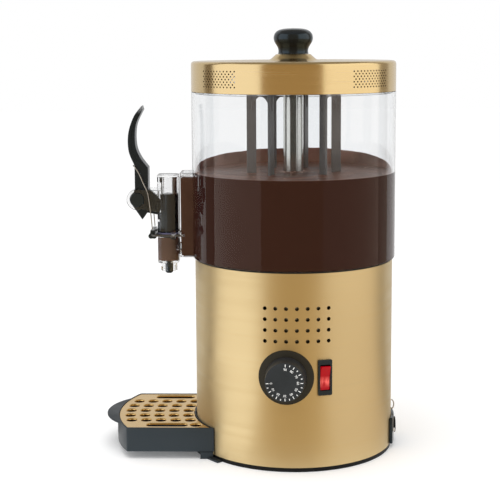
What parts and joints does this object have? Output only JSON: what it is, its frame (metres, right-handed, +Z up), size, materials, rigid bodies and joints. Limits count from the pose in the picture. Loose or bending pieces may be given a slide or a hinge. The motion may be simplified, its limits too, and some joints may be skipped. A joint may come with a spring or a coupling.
{
  "type": "hot drink dispenser",
  "caption": "Upright counter-top drinking-chocolate dispenser: gold steel body, clear tank with stirrer, spring-closed lever tap, drip tray and side controls.",
  "frame": {"origin": "on the tank axis, at the flat underside of the base pan where it stands on the counter", "axes": "+Z up; the tap and drip tray face -Y; the heat dial and power switch are on the +X side"},
  "size_m": [0.3044, 0.4076, 0.58],
  "materials": {
    "gold_steel": "satin gold-coloured steel, brushed round the body",
    "steel": "plain stainless steel",
    "clear_plastic": "clear polycarbonate",
    "stirrer_plastic": "grey food-grade plastic",
    "black_plastic": "satin black moulding",
    "tray_plastic": "fine-grained black moulding",
    "grey_knob": "dark grey moulding",
    "red_lens": "lit red rocker",
    "rubber": "black rubber",
    "seal_grey": "grey-violet silicone",
    "motor_metal": "grey motor case",
    "drink": "drinking chocolate in the tank, shown only in the visual model"
  },
  "bodies": {
    "root": {"base_pan": "black_plastic", "bath_pan": "steel", "body_shell": "gold_steel", "bracket_screw_1": "steel", "bracket_screw_2": "steel", "bracket_screw_3": "steel", "bracket_screw_4": "steel", "column_bush": "clear_plastic", "column_nut": "steel", "column_tube": "steel", "cord_gland": "rubber", "cover_screw_1": "steel", "cover_screw_2": "steel", "dial_bezel": "black_plastic", "foot_pad_1": "rubber", "foot_pad_2": "rubber", "foot_pad_3": "rubber", "foot_pad_4": "rubber", "gearbox": "black_plastic", "heater_ring": "steel", "lead_hook": "steel", "lever_spring": "steel", "motor_bracket": "steel", "pivot_pin": "black_plastic", "product_pan": "steel", "rear_cover": "black_plastic", "retaining_fork": "steel", "safety_thermostat": "black_plastic", "spring_peg": "black_plastic", "stirrer_motor": "motor_metal", "switch_body": "black_plastic", "tank": "clear_plastic", "tank_gasket": "rubber", "tap_body": "clear_plastic", "tap_seal": "rubber", "terminal_block": "clear_plastic", "thermostat": "black_plastic", "tray_bracket": "tray_plastic"},
    "stirrer": {"drive_shaft": "steel", "shaft_coupling": "black_plastic", "stirrer_hub": "steel", "hub_nut": "steel", "stirrer_frame_1": "stirrer_plastic", "stirrer_frame_2": "stirrer_plastic", "stirrer_frame_3": "stirrer_plastic"},
    "lid": {"lid_shell": "gold_steel", "lid_lip": "clear_plastic", "lid_knob": "black_plastic", "knob_screw": "steel"},
    "lever": {"lever": "black_plastic"},
    "piston": {"piston": "black_plastic", "piston_seal": "seal_grey", "nozzle_plug": "black_plastic"},
    "dial": {"dial_knob": "grey_knob", "dial_spindle": "steel"},
    "rocker": {"switch_rocker": "red_lens"},
    "tray": {"drip_tray": "tray_plastic"},
    "grille": {"drip_grille": "gold_steel"}
  },
  "joints": [
    {"name": "stirrer_spin", "type": "hinge", "parent": "root", "child": "stirrer", "pos_m": [0, 0, 0.3], "axis": [0, 0, 1], "continuous": true},
    {"name": "lid_lift", "type": "slide", "parent": "root", "child": "lid", "axis": [0, 0, 1], "range_m": [0, 0.16]},
    {"name": "lever_pull", "type": "hinge", "parent": "root", "child": "lever", "pos_m": [0, -0.2155, 0.3467], "axis": [1, 0, 0], "range_deg": [0, 30], "stiffness_Nm_per_rad": 0.4, "springref_deg": -5.73, "deforming": ["lever_spring"]},
    {"name": "piston_lift", "type": "slide", "parent": "root", "child": "piston", "axis": [0, 0, 1], "range_m": [0, 0.0176]},
    {"name": "dial_turn", "type": "hinge", "parent": "root", "child": "dial", "pos_m": [0.1364, -0.0105, 0.128], "axis": [-0.9971, 0.0767, 0], "range_deg": [0, 264]},
    {"name": "switch_rock", "type": "hinge", "parent": "root", "child": "rocker", "pos_m": [0.13082, 0.04, 0.127], "axis": [0.2924, -0.9563, 0], "range_deg": [0, 20]},
    {"name": "tray_pull", "type": "slide", "parent": "root", "child": "tray", "axis": [0, -1, 0], "range_m": [0, 0.18]},
    {"name": "grille_lift", "type": "slide", "parent": "tray", "child": "grille", "axis": [0, 0, 1], "range_m": [0, 0.08]}
  ],
  "couplings": [
    {"joint": "piston_lift", "follows": "lever_pull", "m_per_rad": 0.0335}
  ]
}
